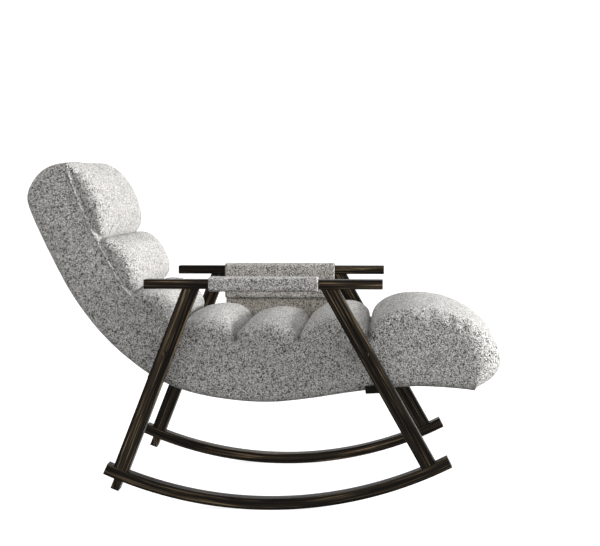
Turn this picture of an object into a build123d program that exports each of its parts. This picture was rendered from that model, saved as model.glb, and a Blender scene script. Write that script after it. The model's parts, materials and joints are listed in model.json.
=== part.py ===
from build123d import *

import math
import os

# A rocking lounge chair: two wooden side frames on rockers, with an S-shaped upholstered pod bolted
# between them. Millimetres. X is forward, Y is the sitter's left and Z is up. The origin is on the
# floor, under the middle of the overall length and width. Side-view points (x, z) are measured from
# the rockers' lowest point, which stands LOW_X in front of the origin.

LOW_X = 14.5
FRAME_HALF = 350.0
MEMBER_WIDTH = 44.0
EDGE_ROUND = 4.0

# Rockers: an arc of ROCKER_R about a point straight above the lowest point.
ROCKER_R = 1045.0
ROCKER_DEPTH = 29.0
ROCKER_BACK_DEG = 23.9
ROCKER_FRONT_DEG = 26.9

# Arm rails.
RAIL_TOP = 591.0
RAIL_DEPTH = 24.0
RAIL_BACK = -316.0
RAIL_FRONT = 295.0
RAIL_UNDER = RAIL_TOP - RAIL_DEPTH
RAIL_ROUND = 2.0

# Legs: each axis passes the rail's underside at its x and leans by its angle from the vertical.
LEG_SIDE = 40.0
LEG_DEPTH = 40.0
BACK_LEG_X = -197.0
BACK_LEG_LEAN = 21.2
FRONT_LEG_X = 160.0
FRONT_LEG_LEAN = -29.3
TENON_SIDE = 20.0
TENON_DEPTH = 18.0
TENON_SINK = 15.0
TOP_TENON = 14.0

# Stop blocks under the rockers' back ends, square to the rocker, in line with the back legs.
STOP_DEG = 21.6
STOP_ALONG = 22.0
STOP_DROP = 26.0
STOP_WIDTH = 40.0
STOP_ROUND = 1.5
STOP_SPARE = 2.0
SCREW_R = 2.5
SCREW_HEAD_R = 5.0
SCREW_HEAD = 3.0
SCREW_SINK = 8.0
SCREW_INTO_ROCKER = 12.0

# Bolts through the legs into the pod.
BOLT_Z = 401.0
BOLT_R = 4.0
HEAD_R = 6.5
HEAD_DEPTH = 5.0
PLUG_R = 7.0
PLUG_DEPTH = 6.0
SPACER_R = 15.0
INSERT_R = 6.0
INSERT_LENGTH = 16.0
BOLT_CLEAR = 0.4
BOLT_END_GAP = 1.0

# Pod: widths from the middle outwards.
POD_HALF = 300.0
COVER = 6.0
PLY = 18.0
PLY_OUTER = POD_HALF - COVER
PLY_INNER = PLY_OUTER - PLY
BACK_FOAM = 16.0
SEAT_FOAM = 26.0
LEG_FOAM = 34.0
WEB_WIDTH = 60.0
WEB_THICK = 2.5
PLY_FROM_OUTSIDE = 14.0
PLY_FROM_BASE = 5.0
CUT_PAST_BASE = 30.0
SAME_POINT = 0.01

# The pod's underside and back, from the toe to the top of the head.
OUTSIDE = [
    (534, 300), (416, 311), (236, 297), (104, 279), (-29, 269), (-161, 283), (-226, 300),
    (-318, 342), (-409, 417), (-477, 495), (-529, 573), (-570, 651), (-606, 729),
    (-630, 800), (-619, 846), (-585, 876), (-545, 887),
]

# The line that the rolls sit on, from the head to the toe.
BASE = [
    (-515, 888), (-449, 700), (-373, 566), (-284, 432), (-89, 424), (78, 422), (257, 426),
    (345, 446), (430, 447), (505, 428), (545, 380), (534, 300),
]

# Rolls: name, the base point it starts from, its first crease, its crown and its last crease.
ROLLS = [
    ("head_roll", 0, (-515, 888), (-424, 784), (-421, 697)),
    ("middle_back_roll", 1, (-421, 697), (-343, 628), (-344, 560)),
    ("lower_back_roll", 2, (-344, 560), (-262, 536), (-258, 450)),
    ("rear_seat_roll", 3, (-258, 450), (-174, 489), (-88, 450)),
    ("middle_seat_roll", 4, (-88, 450), (-4, 477), (77, 445)),
    ("front_seat_roll", 5, (77, 445), (186, 494), (257, 462)),
]
LEG_ROLL_TOP = [
    (257, 462), (283, 494), (327, 511), (391, 518), (455, 508), (513, 484), (564, 448),
    (595, 400), (601, 365), (586, 330), (560, 310), (534, 300),
]

# Rails across the pod, between the side frames: centre, size along and across, and tilt in degrees.
# The back's rails are light and the toe's is heavy, so that the empty chair balances with its arms level.
POD_RAILS = [
    ("pod_head_rail", (-560, 790), 50, 18, 108),
    ("pod_back_rail", (-497, 615), 50, 18, 118),
    ("pod_rear_rail", (-222, 345), 45, 20, -12),
    ("pod_front_rail", (216, 336), 60, 26, 5),
    ("pod_toe_rail", (469, 355), 55, 66, 0),
]

# Webbing: how far each strap's middle lies along its stretch of the deck.
BACK_STRAPS = [(0, 0.35), (0, 0.8), (1, 0.3), (1, 0.75), (2, 0.45)]
SEAT_STRAPS = [(3, 0.25), (3, 0.75), (4, 0.28), (4, 0.78), (5, 0.25), (5, 0.72)]
LEG_STRAPS = [(7, 0.4)]

# Cross rails of the frame, under the pod: the middle, the size along and across, and the tilt.
CROSS_ROUND = 3.0
FRONT_CROSS = ((287, 307), 74, 20, 3)
BACK_CROSS = ((-292, 335), 40, 20, -24)

# Arm covers.
SLEEVE_BACK = -150.0
SLEEVE_FRONT = 131.0
SLEEVE_PAD = 7.0
SADDLE_BACK = -178.0
SADDLE_FRONT = 150.0
SADDLE_TOP = 8.0
FLAP = 6.0
FLAP_END = 496.0
SADDLE_OUTER_END = 560.0

# Side pocket, under the left rail and between the legs.
POCKET_BACK = -174.0
POCKET_FRONT = 130.0
POCKET_TOP = 566.0
POCKET_MOUTH = 520.0
POCKET_BOTTOM = 330.0
POCKET_WALL = 3.0
POCKET_INNER = 308.0
POCKET_OUTER = 349.0

RIGHT = -1
LEFT = 1
MEMBER_INNER = FRAME_HALF - MEMBER_WIDTH
LEG_INNER = FRAME_HALF - (MEMBER_WIDTH + LEG_DEPTH) / 2
TENON_INNER = FRAME_HALF - (MEMBER_WIDTH + TENON_DEPTH) / 2


def side_plane(y):
    """The upright plane at Y = y, with local x forward from the low point and local y up."""
    return Plane(origin=(LOW_X, y, 0), x_dir=(1, 0, 0), z_dir=(0, -1, 0))


def slab_plane(side, inner, thick):
    """The plane from which an extrusion of `thick` fills |Y| from inner to inner + thick."""
    start = -inner if side == RIGHT else inner + thick
    return side_plane(start)


def stop_plane(side):
    """The plane that touches a rocker's underside at its stop block, facing away from the rocker."""
    angle = math.radians(STOP_DEG)
    x = LOW_X - ROCKER_R * math.sin(angle)
    z = ROCKER_R - ROCKER_R * math.cos(angle)
    middle = side * (FRAME_HALF - MEMBER_WIDTH / 2)
    along_rocker = (math.cos(angle), 0, -math.sin(angle))
    return Plane(origin=(x, middle, z), x_dir=along_rocker, z_dir=(-math.sin(angle), 0, -math.cos(angle)))


def leg_x(top_x, lean, z):
    """Where a leg's axis is at height z."""
    return top_x - (RAIL_UNDER - z) * math.tan(math.radians(lean))


def strip(top_x, lean, side, z_low, z_high):
    """Corners of a leaning strip of the given width between two level cuts."""
    half = side / 2 / math.cos(math.radians(lean))
    low = leg_x(top_x, lean, z_low)
    high = leg_x(top_x, lean, z_high)
    return [(low - half, z_low), (low + half, z_low), (high + half, z_high), (high - half, z_high)]


def inset(points, distance):
    """The line moved to the right of its run by a distance, with mitred corners."""
    normals = []
    for (x0, z0), (x1, z1) in zip(points, points[1:]):
        length = math.hypot(x1 - x0, z1 - z0)
        normals.append(((z1 - z0) / length, (x0 - x1) / length))
    moved = []
    for (x, z), (ax, az), (bx, bz) in zip(points, normals[:1] + normals, normals + normals[-1:]):
        reach = distance / (1 + ax * bx + az * bz)
        moved.append((x + reach * (ax + bx), z + reach * (az + bz)))
    return moved


def along(points, index, share):
    """The point a share of the way from one point to the next, and the run's angle in degrees."""
    (x0, z0), (x1, z1) = points[index], points[index + 1]
    angle = math.degrees(math.atan2(z1 - z0, x1 - x0))
    return (x0 + share * (x1 - x0), z0 + share * (z1 - z0)), angle


def save(piece, label):
    """Label a finished piece and write it to its own file."""
    piece.part.label = label
    export_step(piece.part, f"parts/{label}.step")


# Side frames -------------------------------------------------------------------------------------


def make_rocker(side, label):
    """One bent rocker, with blind mortises for its two legs and a hole for the stop block's screw."""
    start = -90 - ROCKER_BACK_DEG
    sweep_deg = ROCKER_BACK_DEG + ROCKER_FRONT_DEG
    with BuildPart() as rocker:
        with BuildSketch(slab_plane(side, MEMBER_INNER, MEMBER_WIDTH)):
            with BuildLine():
                under = CenterArc((0, ROCKER_R), ROCKER_R, start, sweep_deg)
                upper = CenterArc((0, ROCKER_R), ROCKER_R - ROCKER_DEPTH, start, sweep_deg)
                Line(under @ 0, upper @ 0)
                Line(under @ 1, upper @ 1)
            make_face()
        extrude(amount=MEMBER_WIDTH)
        fillet(rocker.edges().filter_by(GeomType.CIRCLE), EDGE_ROUND)
        with BuildSketch(slab_plane(side, TENON_INNER, TENON_DEPTH)):
            Polygon(*strip(BACK_LEG_X, BACK_LEG_LEAN, TENON_SIDE, 0, RAIL_UNDER), align=None)
            Polygon(*strip(FRONT_LEG_X, FRONT_LEG_LEAN, TENON_SIDE, 0, RAIL_UNDER), align=None)
            with Locations((0, ROCKER_R)):
                Circle(ROCKER_R - ROCKER_DEPTH + TENON_SINK, mode=Mode.INTERSECT)
        extrude(amount=TENON_DEPTH, mode=Mode.SUBTRACT)
        with Locations(stop_plane(side)):
            Hole(SCREW_R, SCREW_INTO_ROCKER)
    save(rocker, label)


def make_stop(side, label):
    """A block screwed under a rocker's back end, which stops the chair from tipping over backwards."""
    face = stop_plane(side)
    with BuildPart() as stop:
        with BuildSketch(face.offset(-STOP_SPARE)):
            Rectangle(STOP_ALONG, STOP_WIDTH)
        extrude(amount=STOP_DROP + STOP_SPARE)
        fillet(stop.faces().sort_by(Axis.Z)[0].edges(), STOP_ROUND)
        with BuildSketch(slab_plane(side, MEMBER_INNER, MEMBER_WIDTH)):
            with Locations((0, ROCKER_R)):
                Circle(ROCKER_R)
        extrude(amount=MEMBER_WIDTH, mode=Mode.SUBTRACT)
        with Locations(face.offset(STOP_DROP)):
            CounterBoreHole(SCREW_R, SCREW_HEAD_R, SCREW_SINK)
    save(stop, label)


def make_leg(side, label, top_x, lean):
    """One leg, with a tenon at each end and its bolt hole."""
    outer_face = side * (LEG_INNER + LEG_DEPTH)
    bolt_x = LOW_X + leg_x(top_x, lean, BOLT_Z)
    bolt_plane = Plane(origin=(bolt_x, outer_face, BOLT_Z), z_dir=(0, side, 0))
    with BuildPart() as leg:
        with BuildSketch(slab_plane(side, LEG_INNER, LEG_DEPTH)):
            Polygon(*strip(top_x, lean, LEG_SIDE, 0, RAIL_UNDER), align=None)
            with Locations((0, ROCKER_R)):
                Circle(ROCKER_R - ROCKER_DEPTH, mode=Mode.INTERSECT)
        extrude(amount=LEG_DEPTH)
        fillet(leg.edges().filter_by(lambda edge: edge.length > LEG_SIDE * 2), EDGE_ROUND)
        with BuildSketch(slab_plane(side, TENON_INNER, TENON_DEPTH)):
            Polygon(*strip(top_x, lean, TENON_SIDE, 0, RAIL_UNDER + TOP_TENON), align=None)
            with Locations((0, ROCKER_R)):
                Circle(ROCKER_R - ROCKER_DEPTH + TENON_SINK, mode=Mode.INTERSECT)
        extrude(amount=TENON_DEPTH)
        with Locations(bolt_plane):
            CounterBoreHole(BOLT_R + BOLT_CLEAR, PLUG_R, PLUG_DEPTH + HEAD_DEPTH)
    save(leg, label)


def make_rail(side, label):
    """One arm rail with blind mortises for the tops of its two legs."""
    middle = (RAIL_BACK + RAIL_FRONT) / 2
    with BuildPart() as rail:
        with BuildSketch(slab_plane(side, MEMBER_INNER, MEMBER_WIDTH)):
            with Locations((middle, RAIL_TOP - RAIL_DEPTH / 2)):
                Rectangle(RAIL_FRONT - RAIL_BACK, RAIL_DEPTH)
        extrude(amount=MEMBER_WIDTH)
        fillet(rail.edges(), RAIL_ROUND)
        with BuildSketch(slab_plane(side, TENON_INNER, TENON_DEPTH)):
            for top_x, lean in ((BACK_LEG_X, BACK_LEG_LEAN), (FRONT_LEG_X, FRONT_LEG_LEAN)):
                Polygon(*strip(top_x, lean, TENON_SIDE, BOLT_Z, RAIL_UNDER + TOP_TENON), align=None)
        extrude(amount=TENON_DEPTH, mode=Mode.SUBTRACT)
    save(rail, label)


def section(place, along_size, across_size, tilt):
    """The side-view rectangle of a rail or strap, at a point and turned by tilt."""
    with BuildSketch(side_plane(0)) as face:
        with Locations(place):
            Rectangle(along_size, across_size, rotation=tilt)
    return face.sketch


def make_cross_rail(label, cross):
    """A rail under the pod, from one leg's inner face to the other's."""
    with BuildPart() as rail:
        extrude(section(*cross), amount=LEG_INNER, both=True)
        fillet(rail.edges().filter_by(Axis.Y), CROSS_ROUND)
    save(rail, label)


# Fasteners ---------------------------------------------------------------------------------------


def bolt_places():
    """Where the four bolts stand: side, and the X of the leg's axis at bolt height."""
    places = []
    for side in (RIGHT, LEFT):
        for top_x, lean in ((BACK_LEG_X, BACK_LEG_LEAN), (FRONT_LEG_X, FRONT_LEG_LEAN)):
            places.append((side, LOW_X + leg_x(top_x, lean, BOLT_Z)))
    return places


def disc(side, x, inner, radius):
    """A circle about a bolt's axis, where |Y| is inner, facing outwards."""
    with BuildSketch(Plane(origin=(x, side * inner, BOLT_Z), z_dir=(0, side, 0))) as face:
        Circle(radius)
    return face.sketch


def make_fasteners():
    """Bolts with round heads, the plugs over them, spacers, and the inserts that they screw into."""
    plug_inner = LEG_INNER + LEG_DEPTH - PLUG_DEPTH
    head_inner = plug_inner - HEAD_DEPTH
    insert_inner = PLY_OUTER - INSERT_LENGTH
    bolt_inner = insert_inner + BOLT_END_GAP
    with BuildPart() as bolts:
        for side, x in bolt_places():
            extrude(disc(side, x, bolt_inner, BOLT_R), amount=head_inner - bolt_inner)
            extrude(disc(side, x, head_inner, HEAD_R), amount=HEAD_DEPTH)
    save(bolts, "leg_bolts")
    with BuildPart() as plugs:
        for side, x in bolt_places():
            extrude(disc(side, x, plug_inner, PLUG_R), amount=PLUG_DEPTH)
    save(plugs, "bolt_plugs")
    with BuildPart() as spacers:
        for side, x in bolt_places():
            extrude(disc(side, x, POD_HALF, SPACER_R), amount=LEG_INNER - POD_HALF)
            with Locations(Plane(origin=(x, side * LEG_INNER, BOLT_Z), z_dir=(0, side, 0))):
                Hole(BOLT_R + BOLT_CLEAR, LEG_INNER - POD_HALF)
    save(spacers, "leg_spacers")
    with BuildPart() as inserts:
        for side, x in bolt_places():
            extrude(disc(side, x, insert_inner, INSERT_R), amount=INSERT_LENGTH)
            with Locations(Plane(origin=(x, side * PLY_OUTER, BOLT_Z), z_dir=(0, side, 0))):
                Hole(BOLT_R, INSERT_LENGTH)
    save(inserts, "threaded_inserts")
    with BuildPart() as screws:
        for side in (RIGHT, LEFT):
            face = stop_plane(side)
            with BuildSketch(face.offset(STOP_DROP - SCREW_SINK)):
                Circle(SCREW_R)
            extrude(amount=SCREW_SINK - STOP_DROP - SCREW_INTO_ROCKER)
            with BuildSketch(face.offset(STOP_DROP - SCREW_SINK)):
                Circle(SCREW_HEAD_R)
            extrude(amount=SCREW_HEAD)
    save(screws, "stop_screws")


# Pod ---------------------------------------------------------------------------------------------


def region(plane, lower, upper):
    """The side-view face between a smooth lower line and a straight-sided upper one."""
    with BuildSketch(plane) as face:
        with BuildLine():
            curve = Spline(*lower)
            top = Polyline(*upper)
            Line(curve @ 1, top @ 0)
            if (curve @ 0 - top @ 1).length > SAME_POINT:
                Line(top @ 1, curve @ 0)
        make_face()
    return face.sketch


def make_outer_cover():
    """The cover of the pod's back, underside and sides: an S-shaped tub, open where the rolls lie."""
    inside = inset(OUTSIDE, COVER)
    beyond = inset(BASE[:-1], -CUT_PAST_BASE)
    with BuildPart() as cover:
        extrude(region(side_plane(0), OUTSIDE, BASE), amount=POD_HALF, both=True)
        hollow = region(side_plane(0), inside, beyond)
        extrude(hollow, amount=POD_HALF - COVER, both=True, mode=Mode.SUBTRACT)
        for cross in (FRONT_CROSS, BACK_CROSS):
            extrude(section(*cross), amount=POD_HALF, both=True, mode=Mode.SUBTRACT)
        for side, x in bolt_places():
            with Locations(Plane(origin=(x, side * POD_HALF, BOLT_Z), z_dir=(0, side, 0))):
                Hole(BOLT_R + BOLT_CLEAR, COVER)
    save(cover, "outer_cover")


def make_side_frame(side, label):
    """A plywood board with the pod's S shape, short of its toe and the top of its head."""
    lower = inset(OUTSIDE, PLY_FROM_OUTSIDE)[1:-3]
    upper = inset(BASE, PLY_FROM_BASE)[1:-3]
    with BuildPart() as board:
        extrude(region(slab_plane(side, PLY_INNER, PLY), lower, upper), amount=PLY)
        for cross in (FRONT_CROSS, BACK_CROSS):
            extrude(section(*cross), amount=POD_HALF, both=True, mode=Mode.SUBTRACT)
        for bolt_side, x in bolt_places():
            if bolt_side == side:
                with Locations(Plane(origin=(x, side * PLY_OUTER, BOLT_Z), z_dir=(0, side, 0))):
                    Hole(INSERT_R, INSERT_LENGTH)
    save(board, label)


def make_pod_rails():
    """Rails that hold the two plywood boards apart."""
    for label, *place_and_size in POD_RAILS:
        with BuildPart() as rail:
            extrude(section(*place_and_size), amount=PLY_INNER, both=True)
        save(rail, label)


def make_webbing(label, straps, foam_thick):
    """Straps stretched from one plywood board to the other, under a foam pad."""
    deck = inset(BASE, foam_thick + WEB_THICK / 2)
    with BuildPart() as webbing:
        for index, share in straps:
            place, angle = along(deck, index, share)
            extrude(section(place, WEB_WIDTH, WEB_THICK, angle), amount=PLY_INNER, both=True)
    save(webbing, label)


def make_foam(label, first, last, thick):
    """A foam pad between the webbing and the rolls."""
    top = BASE[first:last + 1]
    bottom = inset(BASE, thick)[first:last + 1]
    with BuildPart() as foam:
        with BuildSketch(side_plane(0)):
            Polygon(*top, *reversed(bottom), align=None)
        extrude(amount=PLY_INNER, both=True)
    save(foam, label)


def make_rolls():
    """The padded rolls of the back and the seat: an arc from crease to crease over the base line."""
    for label, index, crease, crown, next_crease in ROLLS:
        with BuildPart() as roll:
            with BuildSketch(side_plane(0)):
                with BuildLine():
                    ThreePointArc(crease, crown, next_crease)
                    Polyline(next_crease, BASE[index + 1], BASE[index])
                    if crease != BASE[index]:
                        Line(BASE[index], crease)
                make_face()
            extrude(amount=POD_HALF, both=True)
        save(roll, label)


def make_leg_roll():
    """The large roll at the front, which carries the calves and wraps down to the underside."""
    with BuildPart() as roll:
        with BuildSketch(side_plane(0)):
            with BuildLine():
                Spline(*LEG_ROLL_TOP)
                Polyline(*reversed(BASE[6:]))
                Line(BASE[6], LEG_ROLL_TOP[0])
            make_face()
        extrude(amount=POD_HALF, both=True)
    save(roll, "leg_roll")


# Arm covers and pocket ---------------------------------------------------------------------------


def make_right_sleeve():
    """A padded sleeve that wraps the right rail all round."""
    middle = -(FRAME_HALF - MEMBER_WIDTH / 2)
    start = (LOW_X + SLEEVE_BACK, middle, RAIL_TOP - RAIL_DEPTH / 2)
    plane = Plane(origin=start, x_dir=(0, 1, 0), z_dir=(1, 0, 0))
    with BuildPart() as sleeve:
        with BuildSketch(plane):
            Rectangle(MEMBER_WIDTH + 2 * SLEEVE_PAD, RAIL_DEPTH + 2 * SLEEVE_PAD)
        extrude(amount=SLEEVE_FRONT - SLEEVE_BACK)
        fillet(sleeve.edges().filter_by(Axis.X), SLEEVE_PAD)
        with BuildSketch(plane):
            RectangleRounded(MEMBER_WIDTH, RAIL_DEPTH, RAIL_ROUND)
        extrude(amount=SLEEVE_FRONT - SLEEVE_BACK, mode=Mode.SUBTRACT)
    save(sleeve, "right_arm_sleeve")


def make_left_saddle():
    """A padded saddle over the left rail, whose inner flap hangs further down than its outer one."""
    inner = MEMBER_INNER - FLAP
    outer = FRAME_HALF + SLEEVE_PAD
    top = RAIL_TOP + SADDLE_TOP
    plane = Plane(origin=(LOW_X + SADDLE_BACK, 0, 0), x_dir=(0, 1, 0), z_dir=(1, 0, 0))
    with BuildPart() as saddle:
        with BuildSketch(plane):
            with BuildLine():
                Polyline(
                    (inner, FLAP_END), (MEMBER_INNER, FLAP_END), (MEMBER_INNER, RAIL_TOP),
                    (FRAME_HALF, RAIL_TOP), (FRAME_HALF, SADDLE_OUTER_END), (outer, SADDLE_OUTER_END),
                    (outer, top), (inner, top), (inner, FLAP_END),
                )
            make_face()
        extrude(amount=SADDLE_FRONT - SADDLE_BACK)
        fillet(saddle.edges().filter_by(Axis.X).group_by(Axis.Z)[-1], FLAP)
    save(saddle, "left_arm_saddle")


def make_pocket():
    """The pocket under the left rail: a flat inner panel, and a pouch that opens outwards at its top."""
    length = POCKET_FRONT - POCKET_BACK
    middle = LOW_X + (POCKET_FRONT + POCKET_BACK) / 2
    pouch_inner = POCKET_INNER + POCKET_WALL
    with BuildPart() as panel:
        with Locations((middle, POCKET_INNER, POCKET_BOTTOM)):
            Box(length, POCKET_WALL, POCKET_TOP - POCKET_BOTTOM, align=(Align.CENTER, Align.MIN, Align.MIN))
    save(panel, "pocket_panel")
    with BuildPart() as pouch:
        with Locations((middle, pouch_inner, POCKET_BOTTOM)):
            Box(
                length, POCKET_OUTER - pouch_inner, POCKET_MOUTH - POCKET_BOTTOM,
                align=(Align.CENTER, Align.MIN, Align.MIN),
            )
        with Locations((middle, pouch_inner, POCKET_BOTTOM + POCKET_WALL)):
            Box(
                length - 2 * POCKET_WALL, POCKET_OUTER - pouch_inner - POCKET_WALL,
                POCKET_MOUTH - POCKET_BOTTOM,
                align=(Align.CENTER, Align.MIN, Align.MIN), mode=Mode.SUBTRACT,
            )
    save(pouch, "pocket_pouch")


os.makedirs("parts", exist_ok=True)

for hand, word in ((RIGHT, "right"), (LEFT, "left")):
    make_rocker(hand, f"{word}_rocker")
    make_stop(hand, f"{word}_rear_stop")
    make_leg(hand, f"{word}_back_leg", BACK_LEG_X, BACK_LEG_LEAN)
    make_leg(hand, f"{word}_front_leg", FRONT_LEG_X, FRONT_LEG_LEAN)
    make_rail(hand, f"{word}_arm_rail")
    make_side_frame(hand, f"{word}_side_frame")

make_cross_rail("front_cross_rail", FRONT_CROSS)
make_cross_rail("back_cross_rail", BACK_CROSS)
make_fasteners()
make_outer_cover()
make_pod_rails()
make_webbing("back_webbing", BACK_STRAPS, BACK_FOAM)
make_webbing("seat_webbing", SEAT_STRAPS, SEAT_FOAM)
make_webbing("leg_webbing", LEG_STRAPS, LEG_FOAM)
make_foam("back_foam", 0, 3, BACK_FOAM)
make_foam("seat_foam", 3, 6, SEAT_FOAM)
make_foam("leg_foam", 6, 9, LEG_FOAM)
make_rolls()
make_leg_roll()
make_right_sleeve()
make_left_saddle()
make_pocket()
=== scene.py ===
# %% [markdown]
# # Dressing a rocking lounge chair
# The chair is two dark ash side frames on rockers, with an S-shaped upholstered pod bolted between
# them. Its frame, and a plain solid for each soft part, come from a CAD model, and they stay where
# they are. This notebook gives the wood its grain, and replaces each plain soft solid with sewn and
# padded cloth. All lengths are metres. X points forward, Y to the sitter's left and Z up.

import json
import math

import bmesh
import bpy
import numpy as np
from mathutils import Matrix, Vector, noise
from mathutils.bvhtree import BVHTree


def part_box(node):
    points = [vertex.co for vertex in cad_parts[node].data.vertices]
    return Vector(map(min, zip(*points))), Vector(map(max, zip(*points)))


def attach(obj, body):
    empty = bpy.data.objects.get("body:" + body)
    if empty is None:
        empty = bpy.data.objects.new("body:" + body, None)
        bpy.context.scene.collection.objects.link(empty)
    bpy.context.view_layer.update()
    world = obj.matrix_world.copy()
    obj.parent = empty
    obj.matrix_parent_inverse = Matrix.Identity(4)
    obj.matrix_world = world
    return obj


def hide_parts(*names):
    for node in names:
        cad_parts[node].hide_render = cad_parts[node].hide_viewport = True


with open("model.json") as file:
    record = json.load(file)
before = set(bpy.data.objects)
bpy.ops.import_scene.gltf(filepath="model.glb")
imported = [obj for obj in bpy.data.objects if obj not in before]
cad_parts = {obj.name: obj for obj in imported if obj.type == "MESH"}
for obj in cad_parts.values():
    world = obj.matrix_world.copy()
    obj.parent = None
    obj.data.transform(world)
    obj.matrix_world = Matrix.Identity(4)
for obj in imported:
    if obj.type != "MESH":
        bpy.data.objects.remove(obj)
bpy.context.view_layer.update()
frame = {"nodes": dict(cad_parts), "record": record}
MM = 0.001
RIGHT, LEFT = -1, 1
LOW_X = frame["record"]["mounts"][0]["pos_m"][0]
POD_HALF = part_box("outer_cover")[1].y

# %% [markdown]
# ## Shader maths as expressions
# A finish is a small sum: so much of this noise, less of that one, held between two values. Math
# nodes can say it, but a tree wired by hand is hard to read back. A class that wraps one socket and
# overloads the operators lets the sum be written as a sum, and it adds the nodes while it is worked
# out. Every other node comes from one method, which sets the node's own settings first, because
# those can change which sockets it has.


# %% Wire, Nodes and Finish
class Wire:
    """One output socket in a node tree. Sums with numbers and other wires add Math nodes."""

    def __init__(self, nodes, socket):
        self.nodes, self.socket = nodes, socket

    def math(self, operation, *values, clamp=False):
        settings = {"operation": operation, "use_clamp": clamp}
        return self.nodes.node("ShaderNodeMath", settings, dict(enumerate(values)))

    def __add__(self, other):
        return self.math("ADD", self, other)

    __radd__ = __add__

    def __mul__(self, other):
        return self.math("MULTIPLY", self, other)

    __rmul__ = __mul__

    def __sub__(self, other):
        return self.math("SUBTRACT", self, other)

    def __rsub__(self, other):
        return self.math("SUBTRACT", other, self)

    def root(self):
        return self.math("SQRT", self)

    def held(self):
        """The value held between 0 and 1."""
        return self.math("ADD", self, 0.0, clamp=True)

    def between(self, low, high):
        """0 where the value is low, 1 where it is high, and smooth in between."""
        settings = {"interpolation_type": "SMOOTHSTEP"}
        inputs = {"Value": self, "From Min": low, "From Max": high}
        return self.nodes.node("ShaderNodeMapRange", settings, inputs)


class Nodes:
    """A node tree, and the one method that adds any node to it."""

    def __init__(self, tree):
        self.tree = tree

    def node(self, kind, settings=None, inputs=None, output=0):
        made = self.tree.nodes.new(kind)
        for key, value in (settings or {}).items():
            setattr(made, key, value)
        for key, value in (inputs or {}).items():
            self.join(made.inputs[key], value)
        return Wire(self, made.outputs[output])

    def join(self, socket, value):
        if isinstance(value, Wire):
            self.tree.links.new(value.socket, socket)
        elif socket.type == "RGBA":
            socket.default_value = (*value, 1)
        else:
            socket.default_value = value


class Finish(Nodes):
    """A material with a Principled shader. Constants go on the shader's own sockets."""

    def __init__(self, name, **constants):
        self.material = bpy.data.materials.new(name)
        self.material.use_nodes = True
        super().__init__(self.material.node_tree)
        self.shader = next(n for n in self.tree.nodes if n.type == "BSDF_PRINCIPLED")
        for socket, value in constants.items():
            self.shader.inputs[socket.replace("_", " ")].default_value = value

    def set(self, socket, value):
        self.join(self.shader.inputs[socket], value)

    def place(self):
        return self.node("ShaderNodeTexCoord", output="Object")

    def mix(self, share, first, second):
        settings = {"data_type": "RGBA"}
        return self.node("ShaderNodeMix", settings, {0: share, 6: first, 7: second}, output=2)

    def vector(self, operation, *values):
        return self.node("ShaderNodeVectorMath", {"operation": operation}, dict(enumerate(values)))

    def noise(self, place, scale, detail=2.0, roughness=0.5, distortion=0.0):
        inputs = {"Vector": place, "Scale": scale, "Detail": detail,
                  "Roughness": roughness, "Distortion": distortion}
        return self.node("ShaderNodeTexNoise", None, inputs)

    def bump(self, height, strength, distance):
        inputs = {"Height": height, "Strength": strength, "Distance": distance}
        self.set("Normal", self.node("ShaderNodeBump", None, inputs))


# %% [markdown]
# ## Boucle
# Boucle is woven from yarn with loose loops, so its face is a crowd of curls a few millimetres
# across, light warm grey, with dark specks where a darker ply comes up. The colour is also darker
# between the loops, partly where the ground shows and partly as painted shade in the hollows there.
# Modelling the loops would need millions of faces. Cells from a Voronoi texture, pushed about by
# noise so that they curl, give the loops as bump, and the same cells give each loop its own tint.

# %% Boucle finish
CURL = 2.5 * MM
BOUCLE_LIGHT = (0.70, 0.688, 0.662)
BOUCLE_MID = (0.22, 0.215, 0.205)
BOUCLE_DARK = (0.025, 0.024, 0.022)
LOOP_RELIEF = 2.6 * MM
CURL_PUSH = 2.2 * CURL
PUSH_SCALE = 0.6 / CURL
PATCH_SCALE = 0.22 / CURL
SPECK_DEPTH = 0.8
# How dark the boucle gets between its loops: partly the ground, partly painted shade.
GAP_GROUND_AND_SHADE = 0.58


def make_boucle(name, shade=(1.0, 1.0, 1.0), flecks=1.0):
    """Boucle with its colours multiplied by shade, on some copies a painted shade. Flecks scales its dark
    specks and its darkening between loops, which is partly painted shade.
    """
    f = Finish(name, Roughness=0.95, Sheen_Weight=0.15, Sheen_Roughness=0.5, Specular_IOR_Level=0.15)
    light, mid, dark = (tuple(np.multiply(c, shade)) for c in (BOUCLE_LIGHT, BOUCLE_MID, BOUCLE_DARK))
    place = f.place()
    waves = {"Vector": place, "Scale": PUSH_SCALE, "Detail": 1.0}
    push = f.node("ShaderNodeTexNoise", None, waves, output="Color")
    off = f.vector("MULTIPLY", f.vector("SUBTRACT", push, (0.5, 0.5, 0.5)), (CURL_PUSH,) * 3)
    curled = {"Vector": f.vector("ADD", place, off), "Scale": 1 / CURL}
    cells = f.node("ShaderNodeTexVoronoi", {"feature": "F1"}, curled)
    middle = f.node("ShaderNodeTexVoronoi", {"feature": "F1"}, curled, output="Position")
    tint = f.node("ShaderNodeTexWhiteNoise", {"noise_dimensions": "3D"}, {"Vector": middle})
    patch = f.noise(place, PATCH_SCALE, 2.0)
    speck = (tint + (patch - 0.5) * 0.4).between(0.74, 0.88)
    # Darker towards each loop's edge: partly the ground showing between loops, partly painted shade in the
    # hollows there.
    gap = cells.between(0.40, 0.90)
    loops = f.mix((tint * 1.15 + (patch - 0.5) * 0.5).held(), light, mid)
    specked = f.mix((speck * SPECK_DEPTH * flecks).held(), loops, dark)
    f.set("Base Color", f.mix((gap * GAP_GROUND_AND_SHADE * flecks).held(), specked, dark))
    f.bump(1 - cells, 1.0, LOOP_RELIEF)
    return f.material


BOUCLE = make_boucle("boucle")
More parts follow.
